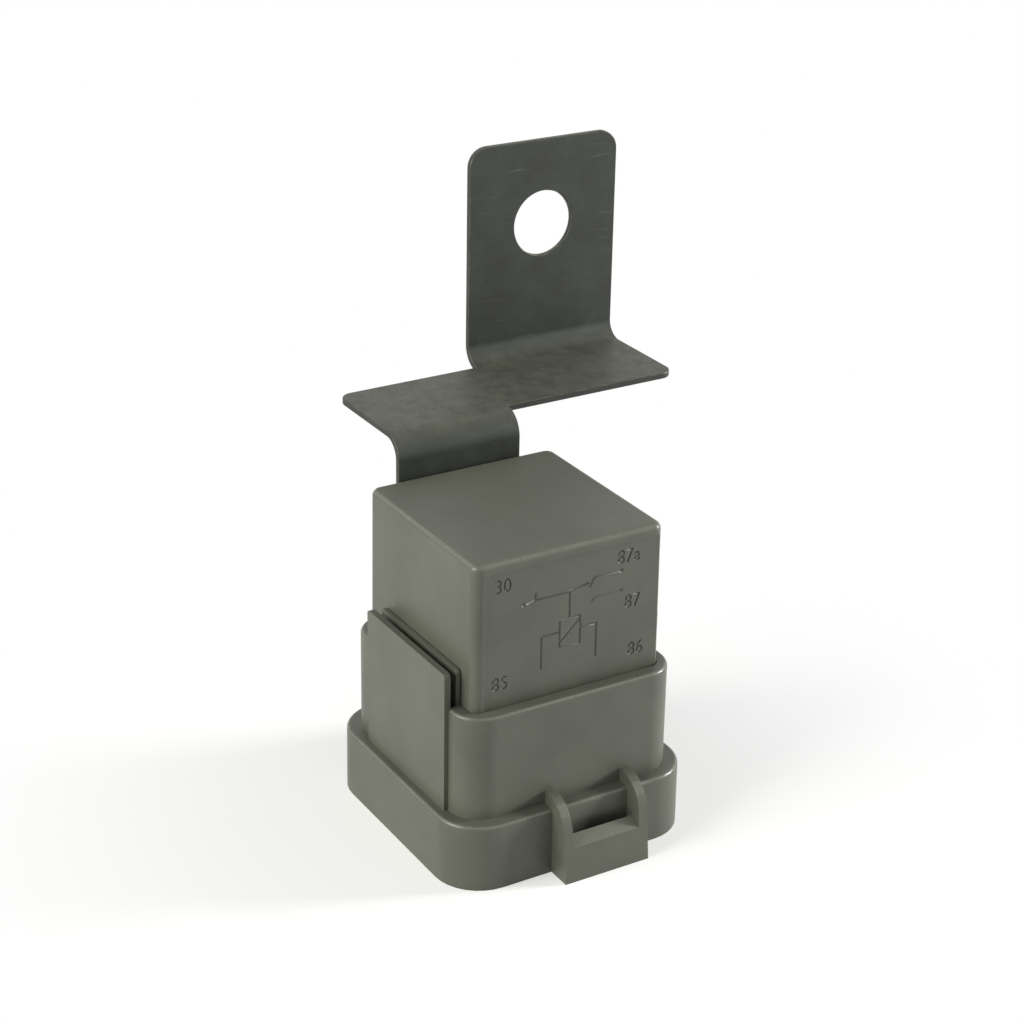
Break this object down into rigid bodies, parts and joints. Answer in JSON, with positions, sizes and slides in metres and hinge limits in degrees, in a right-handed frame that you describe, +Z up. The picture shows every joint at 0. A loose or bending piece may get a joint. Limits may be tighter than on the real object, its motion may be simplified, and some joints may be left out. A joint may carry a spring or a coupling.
{
  "type": "automotive relay",
  "caption": "Sealed plug-in changeover relay: square moulded cover, skirted base with latch loop, blade terminals and a folded steel mounting bracket.",
  "frame": {"origin": "centre of the connector mouth, in the plane of the skirt's bottom edge", "axes": "+Z up along the cover, towards its top; +X to the right along the circuit panel's face; +Y from that face towards the bracket"},
  "size_m": [0.0554, 0.0578, 0.081],
  "materials": {
    "cover_plastic": "moulded, satin",
    "skirt_plastic": "moulded, satin",
    "bracket_steel": "dark phosphated sheet steel",
    "header_plastic": "moulded",
    "seal_resin": "cast resin",
    "terminal_metal": "tinned brass strip",
    "magnet_iron": "nickel-plated soft iron",
    "bobbin_plastic": "moulded",
    "copper_wire": "enamelled copper wire",
    "spring_bronze": "rolled bronze strip",
    "rivet_metal": "upset heads",
    "contact_silver": "silver alloy",
    "spring_steel": "drawn wire",
    "braid_copper": "braided copper strands",
    "resistor_body": "lacquered body, tinned leads"
  },
  "bodies": {
    "relay": {"cover": "cover_plastic", "skirt": "skirt_plastic", "bracket": "bracket_steel", "header": "header_plastic", "base_seal": "seal_resin", "terminal_30": "terminal_metal", "terminal_85": "terminal_metal", "terminal_86": "terminal_metal", "terminal_87": "terminal_metal", "terminal_87a": "terminal_metal", "yoke": "magnet_iron", "core": "magnet_iron", "bobbin": "bobbin_plastic", "coil_winding": "copper_wire", "fixed_contact_no": "contact_silver", "fixed_contact_nc": "contact_silver", "return_spring": "spring_steel", "contact_braid": "braid_copper", "coil_resistor": "resistor_body"},
    "armature_set": {"armature": "magnet_iron", "contact_blade": "spring_bronze", "blade_rivets": "rivet_metal", "moving_contact": "contact_silver"}
  },
  "joints": [
    {"name": "armature_pull", "type": "hinge", "parent": "relay", "child": "armature_set", "pos_m": [0, 0.0092, 0.0374], "axis": [1, 0, 0], "range_deg": [0, 2.2], "stiffness_Nm_per_rad": 0.15, "springref_deg": -2.86, "deforming": ["return_spring"]}
  ]
}
